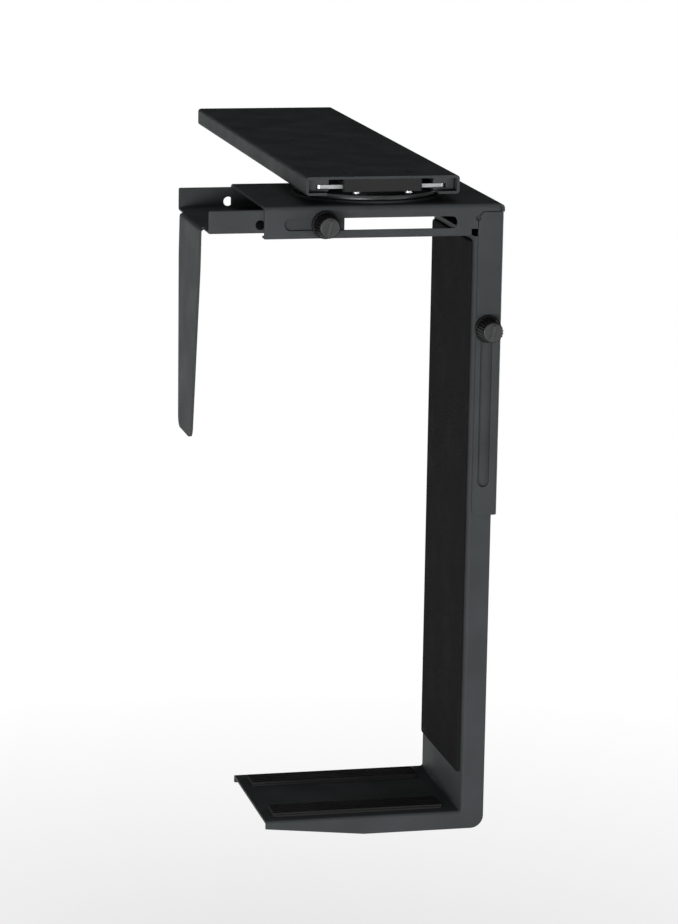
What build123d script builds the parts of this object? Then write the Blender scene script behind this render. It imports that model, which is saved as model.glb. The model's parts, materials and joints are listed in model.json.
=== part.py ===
from build123d import *
import os
from math import cos, radians, sin

os.makedirs("parts", exist_ok=True)

# An under-desk holder for a computer tower, in millimetres.
# X runs along the front bar, Y runs back under the desk, Z is up.
# The origin is on the face that meets the desk, on the swivel axis.

# ---------------------------------------------------------------- driving sizes
sheet = 2.0  # thickness of the folded steel
fold = 3.5  # outside radius of the large folds
lip_fold = 2.6  # outside radius of the narrow return lips
edge_round = 1.2  # rounding of the channels' left ends
slip = 0.3  # gap between sheets that slide on each other
run = 0.06  # radial clearance of a shaft that turns in a hole
seat = 0.1  # radial clearance of a screw in its hole

track_length = 432.0
track_width = 118.0
track_height = 14.0
track_lip = 16.0  # width of each lip, measured from the outside
track_front = -56.0  # Y of the track's front end
screw_pitch_x = 50.0
screw_inset = 22.0  # from the track's end to the first desk screw
screw_hole_r = 2.75

stop_width = 60.0
stop_length = 6.0
stop_gap = 0.5  # between a stop and the track's lips
stop_pitch = 40.0
stop_screw_r = 2.0
stop_head = 2.2
stop_chamfer = 1.0

trolley_length = 99.0
trolley_plate_thickness = 3.0
trolley_plate_drop = 7.0  # from the desk face to the top of the plate
glide_length = 26.0
glide_width = 16.7
glide_grip = 10.0  # how far the plate's edge reaches into a glide
glide_play = 0.1
glide_overhang = 1.0  # how far a glide stands past the plate's end
glide_chamfer = 1.2
glide_end_chamfer = 0.8
glide_rivet_r = 2.0
glide_rivet_head_r = 3.5
glide_rivet_head = 1.4

disc_thickness = 2.0
disc_gap = 0.8  # between the track's lips and the upper disc
upper_disc_r = 55.0
bearing_r = 52.0
lower_disc_r = 57.0
disc_round = 1.2
spacer_r = 28.0
disc_rivet_r = 2.5
disc_rivet_head = 2.0
disc_rivet_circle = 19.0

pivot_r = 5.0
pivot_head_r = 10.0
pivot_head = 3.5
pivot_head_round = 2.0
pivot_washer_r = 12.0
pivot_washer_thickness = 1.8
pivot_nut_r = 9.8
pivot_nut_height = 8.5
thread_end = 1.5  # how far a bolt's thread stands out of its nut

plate_length = 184.5
plate_depth = 130.0
flange_height = 24.3
frame_lip = 8.0
post_face = 20.0  # width of the post's front and rear flanges
post_height = 240.0  # from the top plate down
seam = 0.6  # gap of the mitred corner between bar and post
seam_drop = 5.5  # how far the bar's flange runs on above the post's flange
mitre = 4.0
relief_r = 2.2
notch_width = 5.0
notch_top = 18.7  # below the top plate
tab_left = 4.0  # how far the corner's backing tab reaches behind the bar's flange
tab_right = 8.0  # how far it reaches behind the post's flange
tab_top = 6.7  # below the top plate

slot_length = 132.9
slot_width = 9.1
slot_left = 15.15  # from the frame's left end to the slot
slot_drop = 13.45  # slot's centre line below the top plate
height_slot_top = 85.0  # below the top plate
flange_foot_r = 6.0  # rounding of the post's flanges at the bottom

runner_width = 4.4
runner_inset = 0.4  # from the return lip's edge
runner_play = 0.2
runner_left_gap = 4.0
runner_right_gap = 2.0

arm_length = 102.8
arm_left = -133.7  # X of the channel's left end at rest
arm_height = 17.55
arm_stud_inset = 15.6  # from the arm's right end to its stud
arm_spare_pitch = 48.4  # from the stud to the spare hole
arm_spare_r = 3.7

wing_width = 80.0
wing_foot_width = 50.0
wing_straight = 50.0  # below the top plate, before the taper starts
wing_drop = 181.5  # the wing's foot below the top plate
wing_reach = 3.1  # outside face beyond the channel's end
wing_flare = 1.0  # degrees, opening downwards
wing_corner = 9.0
blade_root = 12.0  # how far the blade's bend reaches into the arm's web
pad_thickness = 3.0
pad_margin = 6.0
pad_corner = 3.0
wing_pad_thickness = 2.0
wing_pad_width = 30.0
wing_pad_length = 80.0
wing_pad_drop = 32.0  # from the arm's web to the pad's top edge

bracket_gap_y = 0.5  # between the bracket and the post's flanges
bracket_face = 22.25  # tower side of the column, from the post's outside
column_depth = 18.0
column_drop = 24.9  # top of the column below the top plate, at rest
tower_drop = 474.0  # underside of the tower below the top plate, at rest
tray_reach = 155.0
tray_flange = 14.0
tray_tip_flange = 6.0
tray_bend = 2.0  # inside radius between column and tray
heel_r = 10.0
hollow_reach = 5.0  # how far the bracket's hollow is drawn past its open back
column_pad_top_gap = 4.0
column_pad_foot_gap = 30.0
tray_strip_width = 25.0
tray_strip_pitch = 80.0
strip_tip_gap = 8.0
strip_column_gap = 12.0
height_up = 5.5  # how far the bracket can rise from rest
shoe_length = 30.0
shoe_thickness = 6.0
shoe_drop = 5.0  # from the column's top to the shoe
shoe_overlap = 10.0  # how far a shoe reaches into the column from its back
shoe_peg_r = 2.5

stud_r = 4.0
stud_head_length = 16.0
stud_head = 3.0
stud_head_round = 1.0
stud_beyond = 3.4  # how far the stud runs past the insert
stud_end_gap = 1.0  # between the stud's end and the bottom of its hole
end_chamfer = 0.8
washer_r = 9.5
washer_thickness = 1.6
knob_base_r = 10.5
knob_base = 2.6
knob_waist_r = 9.4
knob_front_r = 8.1
knob_length = 16.2
knob_base_round = 0.8
knob_front_chamfer = 0.5
knob_grooves = 22
groove_r = 0.65
insert_r = 6.4
insert_length = 9.0
cap_r = 7.3
cap_thickness = 1.4
cap_inset = 0.8
fin_length = 12.0
fin_width = 2.0
fin_height = 1.9
fin_angle = 77.0  # degrees from +X, seen from the front
fin_round = 0.4
cap_round = 0.5

guide_bolt_r = 3.0
guide_head_length = 12.0
guide_head = 2.5
guide_bush_r = 4.3
guide_washer_r = 8.0
guide_washer = 1.2
guide_nut_r = 5.75
guide_nut = 6.0
guide_nut_hex = 4.2  # height of the nut's hexagonal part
guide_head_round = 0.8
bush_proud = 0.2  # how far a bush stands out of the slotted flange

# ---------------------------------------------------------------- derived places
half_depth = plate_depth / 2
left_end = -plate_length / 2
right_end = plate_length / 2
track_rear = track_front + track_length
track_middle = track_front + track_length / 2
track_inside = track_width / 2 - sheet
screw_pitch_y = (track_length - 2 * screw_inset) / 2

upper_disc_top = -track_height - disc_gap
bearing_top = upper_disc_top - disc_thickness - glide_play
lower_disc_top = upper_disc_top - 2 * disc_thickness
plate_top = lower_disc_top - disc_thickness
plate_under = plate_top - sheet
flange_bottom = plate_top - flange_height
slot_z = plate_top - slot_drop
slot_middle = left_end + slot_left + slot_length / 2

trolley_top = -trolley_plate_drop
trolley_under = trolley_top - trolley_plate_thickness

seam_z = plate_top - seam_drop
post_edge = right_end - post_face
bar_edge = post_edge - seam
post_top = seam_z - seam
post_bottom = plate_top - post_height
bend_start = right_end - fold

arm_top = plate_under - slip
arm_half = half_depth - sheet - slip
arm_bottom = arm_top - arm_height
arm_web = arm_bottom + sheet
arm_right = arm_left + arm_length
stud_x = arm_right - arm_stud_inset
spare_x = stud_x - arm_spare_pitch
arm_travel = slot_middle + (slot_length - slot_width) / 2 - stud_x
head_height = 2 * (slot_z - arm_bottom - lip_fold - slip)  # stud heads fit above the arm's web

wing_outside = arm_left - wing_reach
wing_foot = plate_top - wing_drop
wing_down = Vector(-sin(radians(wing_flare)), 0, -cos(radians(wing_flare)))
wing_in = Vector(cos(radians(wing_flare)), 0, -sin(radians(wing_flare)))

column_face = right_end - bracket_face
column_half = half_depth - sheet - bracket_gap_y
column_back = column_face + column_depth
column_top = plate_top - column_drop
tray_top = plate_top - tower_drop - pad_thickness
tray_tip = column_face - tray_reach
height_x = (post_edge + bend_start) / 2
height_slot_middle = plate_top - height_slot_top - slot_length / 2
height_stud_z = height_slot_middle + (slot_length - slot_width) / 2 - height_up


def finish(piece, name):
    """Label a finished piece and write it."""
    piece.part.label = name
    export_step(piece.part, f"parts/{name}.step")


def folded_strip(points, radius):
    """Section of a folded sheet. The points follow its outside, and the sheet lies on their right."""
    with BuildSketch() as strip:
        with BuildLine():
            FilletPolyline(*points, radius=radius)
            offset(amount=sheet, side=Side.RIGHT)
        make_face()
    return strip.sketch


# ---------------------------------------------------------------- track and stops
# A C-shaped rail whose web is screwed to the desk and whose lips carry the trolley.
lip_edge = track_width / 2 - track_lip
track_section = folded_strip(
    [
        (-lip_edge, -track_height),
        (-track_width / 2, -track_height),
        (-track_width / 2, 0),
        (track_width / 2, 0),
        (track_width / 2, -track_height),
        (lip_edge, -track_height),
    ],
    lip_fold,
)
with BuildPart() as track:
    with BuildSketch(Plane.XZ.offset(-track_rear)):
        add(track_section)
    extrude(amount=track_length)
    with Locations((0, track_middle, 0)):
        with GridLocations(screw_pitch_x, screw_pitch_y, 2, 3):
            Hole(screw_hole_r)
    with Locations((0, track_middle, 0)):
        with GridLocations(stop_pitch, track_length - stop_length, 2, 2):
            Hole(stop_screw_r + seat)
finish(track, "track")

stop_under = -track_height + sheet + stop_gap
stop_height = -sheet - stop_under
with BuildPart() as end_stops:
    with BuildSketch(Plane.XY.offset(stop_under)):
        with Locations((0, track_middle)):
            with GridLocations(1, track_length - stop_length, 1, 2):
                Rectangle(stop_width, stop_length)
            with GridLocations(stop_pitch, track_length - stop_length, 2, 2):
                Circle(stop_screw_r + seat, mode=Mode.SUBTRACT)
    extrude(amount=stop_height)
    chamfer(end_stops.edges().filter_by(Axis.Z).filter_by(GeomType.LINE), stop_chamfer)
finish(end_stops, "end_stops")

with BuildPart() as stop_screws:
    with BuildSketch(Plane.XY.offset(stop_under - stop_head)):
        with Locations((0, track_middle)):
            with GridLocations(stop_pitch, track_length - stop_length, 2, 2):
                Circle(stop_length / 2 - seat)
    extrude(amount=stop_head)
    chamfer(stop_screws.faces().sort_by(Axis.Z)[:4].edges(), end_chamfer)
    with BuildSketch(Plane.XY.offset(stop_under)):
        with Locations((0, track_middle)):
            with GridLocations(stop_pitch, track_length - stop_length, 2, 2):
                Circle(stop_screw_r)
    extrude(amount=-stop_under - slip)
finish(stop_screws, "stop_screws")

# ---------------------------------------------------------------- trolley
# The plate's corners sit in four nylon glides that run between the track's web and lips.
glide_outer_x = track_inside - slip
glide_inner_x = glide_outer_x - glide_width
plate_half = glide_inner_x + glide_grip
glide_middle_x = glide_inner_x + glide_grip / 2
glide_middle_y = (trolley_length - glide_length) / 2
with BuildPart() as trolley_plate:
    with BuildSketch(Plane.XY.offset(trolley_under)):
        RectangleRounded(2 * plate_half, trolley_length - 2 * glide_overhang, fold)
        Circle(pivot_r + seat, mode=Mode.SUBTRACT)
        with PolarLocations(disc_rivet_circle, 4, 45):
            Circle(disc_rivet_r + seat, mode=Mode.SUBTRACT)
        with GridLocations(2 * glide_middle_x, 2 * glide_middle_y, 2, 2):
            Circle(glide_rivet_r + seat, mode=Mode.SUBTRACT)
    extrude(amount=trolley_plate_thickness)
finish(trolley_plate, "trolley_plate")

glide_under = -track_height + sheet + glide_play
glide_top = -sheet - glide_play
rivet_low = trolley_under - glide_rivet_head
rivet_high = trolley_top + glide_rivet_head
with BuildPart() as trolley_glides:
    with BuildSketch(Plane.XY.offset(glide_under)):
        for side in (-1, 1):
            with Locations((side * (glide_inner_x + glide_outer_x) / 2, 0)):
                with GridLocations(1, 2 * glide_middle_y, 1, 2):
                    Rectangle(glide_outer_x - glide_inner_x, glide_length)
    extrude(amount=glide_top - glide_under)
    chamfer(trolley_glides.edges().filter_by(Axis.Y), glide_chamfer)
    chamfer(trolley_glides.edges().filter_by(Axis.Z), glide_end_chamfer)
    with BuildSketch(Plane.XY.offset(trolley_under)):
        Rectangle(2 * plate_half, trolley_length + 2 * glide_overhang)
    extrude(amount=trolley_plate_thickness, mode=Mode.SUBTRACT)
    with BuildSketch(Plane.XY.offset(glide_under)):
        with GridLocations(2 * glide_middle_x, 2 * glide_middle_y, 2, 2):
            Circle(glide_rivet_r + seat)
    extrude(amount=glide_top - glide_under, mode=Mode.SUBTRACT)
    for level, depth in ((rivet_high, track_height), (rivet_low, -track_height)):
        with BuildSketch(Plane.XY.offset(level)):
            with GridLocations(2 * glide_middle_x, 2 * glide_middle_y, 2, 2):
                Circle(glide_rivet_head_r + seat)
        extrude(amount=depth, mode=Mode.SUBTRACT)
finish(trolley_glides, "trolley_glides")

with BuildPart() as glide_rivets:
    with BuildSketch(Plane.XY.offset(rivet_low)):
        with GridLocations(2 * glide_middle_x, 2 * glide_middle_y, 2, 2):
            Circle(glide_rivet_r)
    extrude(amount=rivet_high - rivet_low)
    with BuildSketch(Plane.XY.offset(rivet_high)):
        with GridLocations(2 * glide_middle_x, 2 * glide_middle_y, 2, 2):
            Circle(glide_rivet_head_r)
    extrude(amount=glide_rivet_head)
finish(glide_rivets, "glide_rivets")

with BuildPart() as pivot_spacer:
    with BuildSketch(Plane.XY.offset(upper_disc_top)):
        Circle(spacer_r)
        Circle(pivot_r + seat, mode=Mode.SUBTRACT)
        with PolarLocations(disc_rivet_circle, 4, 45):
            Circle(disc_rivet_r + seat, mode=Mode.SUBTRACT)
    extrude(amount=trolley_under - upper_disc_top)
finish(pivot_spacer, "pivot_spacer")

with BuildPart() as upper_disc:
    with BuildSketch(Plane.XY.offset(upper_disc_top - disc_thickness)):
        Circle(upper_disc_r)
        Circle(pivot_r + seat, mode=Mode.SUBTRACT)
        with PolarLocations(disc_rivet_circle, 4, 45):
            Circle(disc_rivet_r + seat, mode=Mode.SUBTRACT)
    extrude(amount=disc_thickness)
    fillet(upper_disc.edges().filter_by(GeomType.CIRCLE).sort_by(SortBy.RADIUS)[-2:], end_chamfer)
finish(upper_disc, "upper_disc")

with BuildPart() as disc_rivets:
    with BuildSketch(Plane.XY.offset(upper_disc_top - disc_thickness)):
        with PolarLocations(disc_rivet_circle, 4, 45):
            Circle(disc_rivet_r)
    extrude(amount=trolley_top - upper_disc_top + disc_thickness)
    with BuildSketch(Plane.XY.offset(trolley_top)):
        with PolarLocations(disc_rivet_circle, 4, 45):
            Circle(2 * disc_rivet_r)
    extrude(amount=disc_rivet_head)
    fillet(disc_rivets.faces().sort_by(Axis.Z)[-4:].edges(), disc_round)
finish(disc_rivets, "disc_rivets")

# ---------------------------------------------------------------- swivel
washer_top = plate_under - slip
nut_top = washer_top - pivot_washer_thickness
with BuildPart() as pivot_bolt:
    with BuildSketch(Plane.XY.offset(trolley_top)):
        Circle(pivot_head_r)
    extrude(amount=pivot_head)
    fillet(pivot_bolt.faces().sort_by(Axis.Z)[-1].edges(), pivot_head_round)
    with BuildSketch(Plane.XY.offset(trolley_top)):
        Circle(pivot_r)
    extrude(amount=nut_top - pivot_nut_height - thread_end - trolley_top)
    chamfer(pivot_bolt.faces().sort_by(Axis.Z)[0].edges(), end_chamfer)
finish(pivot_bolt, "pivot_bolt")

with BuildPart() as pivot_washer:
    with BuildSketch(Plane.XY.offset(nut_top)):
        Circle(pivot_washer_r)
        Circle(pivot_r + seat, mode=Mode.SUBTRACT)
    extrude(amount=pivot_washer_thickness)
finish(pivot_washer, "pivot_washer")

with BuildPart() as pivot_nut:
    with BuildSketch(Plane.XY.offset(nut_top - pivot_nut_height)):
        RegularPolygon(pivot_nut_r, 6)
    extrude(amount=pivot_nut_height)
    with BuildSketch(Plane.XY.offset(nut_top - pivot_nut_height)):
        Circle(pivot_nut_r)
        Circle(pivot_nut_r * cos(radians(30)), mode=Mode.SUBTRACT)
    extrude(amount=pivot_nut_height / 3, mode=Mode.SUBTRACT)
    with Locations((0, 0, nut_top)):
        Hole(pivot_r + seat / 2)
finish(pivot_nut, "pivot_nut")

with BuildPart() as bearing_disc:
    with BuildSketch(Plane.XY.offset(lower_disc_top)):
        Circle(bearing_r)
        Circle(pivot_r + run, mode=Mode.SUBTRACT)
    extrude(amount=bearing_top - lower_disc_top)
finish(bearing_disc, "bearing_disc")

with BuildPart() as lower_disc:
    with BuildSketch(Plane.XY.offset(plate_top)):
        Circle(lower_disc_r)
        Circle(pivot_r + run, mode=Mode.SUBTRACT)
    extrude(amount=disc_thickness)
    rims = lower_disc.edges().filter_by(GeomType.CIRCLE).group_by(Axis.Z)[-1]
    fillet(rims.sort_by(SortBy.RADIUS)[-1], disc_round)
finish(lower_disc, "lower_disc")

# ---------------------------------------------------------------- upper frame
# The bar is an inverted channel with return lips. It is cut back at its right end for the post.
lip_end = half_depth - frame_lip
bar_section = folded_strip(
    [
        (-lip_end, flange_bottom),
        (-half_depth, flange_bottom),
        (-half_depth, plate_top),
        (half_depth, plate_top),
        (half_depth, flange_bottom),
        (lip_end, flange_bottom),
    ],
    [lip_fold, fold, fold, lip_fold],
)
with BuildPart() as bar:
    with BuildSketch(Plane.YZ.offset(left_end)):
        add(bar_section)
    extrude(amount=bend_start - left_end)
    end_edges = bar.edges().filter_by(Axis.Z).group_by(Axis.X)[0].sort_by(Axis.Y)
    fillet([end_edges[0], end_edges[-1]], edge_round)
    with BuildSketch(Plane.XZ.offset(half_depth + sheet)):
        with BuildLine():
            Polyline(
                (bar_edge, seam_z - mitre),
                (bar_edge + mitre, seam_z),
                (right_end, seam_z),
                (right_end, flange_bottom - sheet),
                (bar_edge - notch_width, flange_bottom - sheet),
                (bar_edge - notch_width, plate_top - notch_top),
                (bar_edge, plate_top - notch_top),
                close=True,
            )
        make_face()
    extrude(amount=-plate_depth - 2 * sheet, mode=Mode.SUBTRACT)

# The fold that turns the top plate down into the post.
with BuildPart() as shoulder:
    with BuildSketch(Plane.XZ.offset(half_depth)):
        with BuildLine():
            outer = CenterArc((bend_start, plate_top - fold), fold, 0, 90)
            inner = CenterArc((bend_start, plate_top - fold), fold - sheet, 0, 90)
            Polyline(outer @ 0, (right_end, post_top), (right_end - sheet, post_top), inner @ 0)
            Line(inner @ 1, outer @ 1)
        make_face()
    extrude(amount=-plate_depth)

post_section = folded_strip(
    [
        (post_edge, half_depth),
        (right_end, half_depth),
        (right_end, -half_depth),
        (post_edge, -half_depth),
    ],
    fold,
)
with BuildPart() as post:
    with BuildSketch(Plane.XY.offset(post_bottom)):
        add(post_section)
    extrude(amount=post_top - post_bottom)
    flange_tips = post.edges().filter_by(Axis.Y).group_by(Axis.X)[0]
    chamfer(flange_tips.group_by(Axis.Z)[-1], mitre)
    flange_tips = post.edges().filter_by(Axis.Y).group_by(Axis.X)[0]
    fillet(flange_tips.group_by(Axis.Z)[0], flange_foot_r)

tab_start = bar_edge - tab_left
tab_end = post_edge + tab_right
with BuildPart() as upper_frame:
    add(bar.part)
    add(shoulder.part)
    add(post.part)
    with BuildSketch(Plane.XZ.offset(half_depth + sheet)):
        with Locations((slot_middle, slot_z)):
            SlotOverall(slot_length, slot_width)
        with Locations((height_x, height_slot_middle)):
            SlotOverall(slot_length, slot_width, rotation=90)
        with Locations((post_edge - seam / 2, seam_z - mitre - relief_r / 2)):
            Circle(relief_r)
    extrude(amount=-plate_depth - 2 * sheet, mode=Mode.SUBTRACT)
    with Locations((0, 0, plate_top)):
        Hole(pivot_r + run, depth=2 * sheet)
    # tabs welded behind the flanges close the corner between bar and post
    for side in (-1, 1):
        with BuildSketch(Plane.XZ.offset(side * (half_depth - sheet))):
            with Locations(((tab_start + tab_end) / 2, plate_top - (tab_top + notch_top) / 2)):
                Rectangle(tab_end - tab_start, notch_top - tab_top)
        extrude(amount=-side * sheet)
finish(upper_frame, "upper_frame")

# Nylon strips on the return lips, on which the arm slides.
runner_left = left_end + runner_left_gap
runner_right = bar_edge - notch_width - runner_right_gap
runner_y = lip_end + runner_inset + runner_width / 2
with BuildPart() as arm_runners:
    with BuildSketch(Plane.XY.offset(flange_bottom + sheet)):
        with Locations(((runner_left + runner_right) / 2, 0)):
            with GridLocations(1, 2 * runner_y, 1, 2):
                Rectangle(runner_right - runner_left, runner_width)
    extrude(amount=arm_bottom - runner_play - flange_bottom - sheet)
finish(arm_runners, "arm_runners")

# ---------------------------------------------------------------- width arm
# The arm is an upright channel. The wing's blade turns down from its web and opens slightly downwards.
blade_top = Vector(wing_outside, 0, arm_web)
blade_end = blade_top + wing_down * ((arm_web - wing_foot) / cos(radians(wing_flare)))
blade_section = folded_strip(
    [
        (blade_end.X, blade_end.Z),
        (blade_top.X, blade_top.Z),
        (arm_left + blade_root, arm_web),
    ],
    fold,
)
blade_span = blade_root + wing_reach + wing_drop * sin(radians(wing_flare))
with BuildPart() as blade:
    with BuildSketch(Plane.XZ.offset(wing_width / 2)):
        add(blade_section)
    extrude(amount=-wing_width)
    with BuildSketch(Plane.YZ.offset(arm_left)):
        with BuildLine():
            Polyline(
                (-wing_width / 2, plate_top),
                (-wing_width / 2, plate_top - wing_straight),
                (-wing_foot_width / 2, wing_foot - sheet),
                (wing_foot_width / 2, wing_foot - sheet),
                (wing_width / 2, plate_top - wing_straight),
                (wing_width / 2, plate_top),
                close=True,
            )
        make_face()
    extrude(amount=blade_span, both=True, mode=Mode.INTERSECT)
    across = 2 * wing_flare  # angle within which an edge counts as running through the blade
    fillet(blade.edges().filter_by(Axis.X, tolerance=across).group_by(Axis.Z)[0], wing_corner)

arm_section = folded_strip(
    [
        (arm_half, arm_top),
        (arm_half, arm_bottom),
        (-arm_half, arm_bottom),
        (-arm_half, arm_top),
    ],
    lip_fold,
)
with BuildPart() as width_arm:
    with BuildSketch(Plane.YZ.offset(arm_left)):
        add(arm_section)
    extrude(amount=arm_length)
    end_edges = width_arm.edges().filter_by(Axis.Z).group_by(Axis.X)[0].sort_by(Axis.Y)
    fillet([end_edges[0], end_edges[-1]], edge_round)
    # the flanges' top edges follow the inside of the frame's folds
    top_edges = width_arm.edges().filter_by(Axis.X).group_by(Axis.Z)[-1].sort_by(Axis.Y)
    fillet([top_edges[0], top_edges[-1]], fold - sheet - slip)
    add(blade.part)
    with BuildSketch(Plane.XY.offset(arm_web)):
        with Locations((arm_left, 0)):
            with GridLocations(1, wing_width, 1, 2):
                Circle(relief_r)
    extrude(amount=-sheet, mode=Mode.SUBTRACT)
    with BuildSketch(Plane.XZ.offset(half_depth)):
        with Locations((stud_x, slot_z)):
            Circle(stud_r + seat)
    extrude(amount=-half_depth, mode=Mode.SUBTRACT)
    with BuildSketch(Plane.XZ):
        with Locations((stud_x, slot_z)):
            Circle(guide_bolt_r + seat)
    extrude(amount=-half_depth, mode=Mode.SUBTRACT)
    with BuildSketch(Plane.XZ.offset(half_depth)):
        with Locations((spare_x, slot_z)):
            Circle(arm_spare_r)
    extrude(amount=-plate_depth, mode=Mode.SUBTRACT)
finish(width_arm, "width_arm")

# The pad is sketched on the wing's inner face, x along Y and y up the wing.
pad_origin = blade_top + wing_in * sheet
wing_face = Plane(
    origin=(pad_origin.X, pad_origin.Y, pad_origin.Z),
    x_dir=(0, 1, 0),
    z_dir=(wing_in.X, wing_in.Y, wing_in.Z),
)
with BuildPart() as wing_pad:
    with BuildSketch(wing_face):
        with Locations((0, -wing_pad_drop - wing_pad_length / 2)):
            RectangleRounded(wing_pad_width, wing_pad_length, pad_corner)
    extrude(amount=wing_pad_thickness)
finish(wing_pad, "wing_pad")


# ---------------------------------------------------------------- clamps
# A stud welded inside the sliding piece passes through the slot to a washer and a hand knob.
clamp_face = half_depth + run
knob_face = clamp_face + washer_thickness
knob_waist = knob_face + knob_base
knob_front = knob_face + knob_length
cap_seat = knob_front - cap_inset
stud_end = knob_face + insert_length + stud_beyond


def make_stud(x, z, inner_face):
    """Stud with a flat oblong head behind the sliding piece's flange."""
    with BuildPart() as stud:
        with BuildSketch(Plane.XZ.offset(inner_face - stud_head)):
            with Locations((x, z)):
                Rectangle(stud_head_length, head_height)
        extrude(amount=stud_head)
        fillet(stud.faces().sort_by(Axis.Y)[-1].edges(), stud_head_round)
        with BuildSketch(Plane.XZ.offset(inner_face)):
            with Locations((x, z)):
                Circle(stud_r)
        extrude(amount=stud_end - inner_face)
        chamfer(stud.faces().sort_by(Axis.Y)[0].edges(), end_chamfer)
    return stud


def make_washer(x, z):
    """Flat washer between the slotted flange and the knob."""
    with BuildPart() as washer:
        with BuildSketch(Plane.XZ.offset(clamp_face)):
            with Locations((x, z)):
                Circle(washer_r)
                Circle(stud_r + run, mode=Mode.SUBTRACT)
        extrude(amount=washer_thickness)
    return washer


with BuildPart() as groove:
    with BuildSketch(Plane.XZ.offset(knob_waist)):
        with Locations((knob_waist_r, 0)):
            Circle(groove_r)
    with BuildSketch(Plane.XZ.offset(knob_front)):
        with Locations((knob_front_r, 0)):
            Circle(groove_r)
    loft()


def make_knob(x, z):
    """Grooved, tapered hand knob with a flange at its base and a recess for its cap."""
    with BuildPart() as knob:
        with BuildSketch(Plane.XZ.offset(knob_face)):
            with Locations((x, z)):
                Circle(knob_base_r)
        extrude(amount=knob_base)
        fillet(knob.faces().sort_by(Axis.Y)[0].edges(), knob_base_round)
        with BuildSketch(Plane.XZ.offset(knob_waist)):
            with Locations((x, z)):
                Circle(knob_waist_r)
        with BuildSketch(Plane.XZ.offset(knob_front)):
            with Locations((x, z)):
                Circle(knob_front_r)
        loft()
        chamfer(knob.faces().sort_by(Axis.Y)[0].edges(), knob_front_chamfer)
        for turn in range(knob_grooves):
            with Locations(Location((x, 0, z), (0, turn * 360 / knob_grooves, 0))):
                add(groove.part, mode=Mode.SUBTRACT)
        with BuildSketch(Plane.XZ.offset(knob_face)):
            with Locations((x, z)):
                RegularPolygon(insert_r, 6)
        extrude(amount=insert_length, mode=Mode.SUBTRACT)
        with BuildSketch(Plane.XZ.offset(knob_face)):
            with Locations((x, z)):
                Circle(stud_r + slip)
        extrude(amount=stud_end + stud_end_gap - knob_face, mode=Mode.SUBTRACT)
        with BuildSketch(Plane.XZ.offset(cap_seat)):
            with Locations((x, z)):
                Circle(cap_r)
        extrude(amount=2 * cap_inset, mode=Mode.SUBTRACT)
    return knob


def make_insert(x, z):
    """Hexagonal threaded insert moulded into the knob."""
    with BuildPart() as insert:
        with BuildSketch(Plane.XZ.offset(knob_face)):
            with Locations((x, z)):
                RegularPolygon(insert_r, 6)
                Circle(stud_r + run, mode=Mode.SUBTRACT)
        extrude(amount=insert_length)
    return insert


def make_cap(x, z):
    """Cap with the raised finger bar across it."""
    with BuildPart() as cap:
        with BuildSketch(Plane.XZ.offset(cap_seat)):
            with Locations((x, z)):
                Circle(cap_r)
        extrude(amount=cap_thickness)
        fillet(cap.faces().sort_by(Axis.Y)[0].edges(), cap_round)
        with BuildSketch(Plane.XZ.offset(cap_seat + cap_thickness)):
            with Locations((x, z)):
                SlotOverall(fin_length, fin_width, rotation=fin_angle)
        extrude(amount=fin_height)
        fillet(cap.faces().sort_by(Axis.Y)[0].edges(), fin_round)
    return cap


finish(make_stud(stud_x, slot_z, arm_half - sheet), "width_stud")
finish(make_washer(stud_x, slot_z), "width_washer")
finish(make_knob(stud_x, slot_z), "width_knob")
finish(make_insert(stud_x, slot_z), "width_knob_insert")
finish(make_cap(stud_x, slot_z), "width_knob_cap")
finish(make_stud(height_x, height_stud_z, column_half - sheet), "height_stud")
finish(make_washer(height_x, height_stud_z), "height_washer")
finish(make_knob(height_x, height_stud_z), "height_knob")
finish(make_insert(height_x, height_stud_z), "height_knob_insert")
finish(make_cap(height_x, height_stud_z), "height_knob_cap")


# ---------------------------------------------------------------- rear guides
# A bolt with a nylon bush runs in the rear slot and keeps the sliding piece square.
bush_end = half_depth + bush_proud
guide_washer_end = bush_end + guide_washer
guide_nut_end = guide_washer_end + guide_nut


def make_guide_bolt(x, z, inner_face):
    """Bolt with its oblong head inside the sliding piece."""
    with BuildPart() as bolt:
        with BuildSketch(Plane.XZ.offset(-inner_face)):
            with Locations((x, z)):
                Rectangle(guide_head_length, head_height)
        extrude(amount=guide_head)
        fillet(bolt.faces().sort_by(Axis.Y)[0].edges(), guide_head_round)
        with BuildSketch(Plane.XZ.offset(-inner_face)):
            with Locations((x, z)):
                Circle(guide_bolt_r)
        extrude(amount=inner_face - guide_nut_end - thread_end)
        chamfer(bolt.faces().sort_by(Axis.Y)[-1].edges(), end_chamfer)
    return bolt


def make_guide_ring(x, z, start, end, outer_r):
    """Bush or washer round a guide bolt, from one Y to another."""
    with BuildPart() as ring:
        with BuildSketch(Plane.XZ.offset(-start)):
            with Locations((x, z)):
                Circle(outer_r)
                Circle(guide_bolt_r + seat, mode=Mode.SUBTRACT)
        extrude(amount=start - end)
    return ring


def make_guide_nut(x, z):
    """Lock nut with a round collar at its outer end."""
    with BuildPart() as nut:
        with BuildSketch(Plane.XZ.offset(-guide_washer_end)):
            with Locations((x, z)):
                RegularPolygon(guide_nut_r, 6)
                Circle(guide_bolt_r + seat, mode=Mode.SUBTRACT)
        extrude(amount=-guide_nut_hex)
        with BuildSketch(Plane.XZ.offset(-guide_washer_end)):
            with Locations((x, z)):
                Circle(guide_nut_r * cos(radians(30)) - slip)
                Circle(guide_bolt_r + seat, mode=Mode.SUBTRACT)
        extrude(amount=-guide_nut)
    return nut


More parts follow.
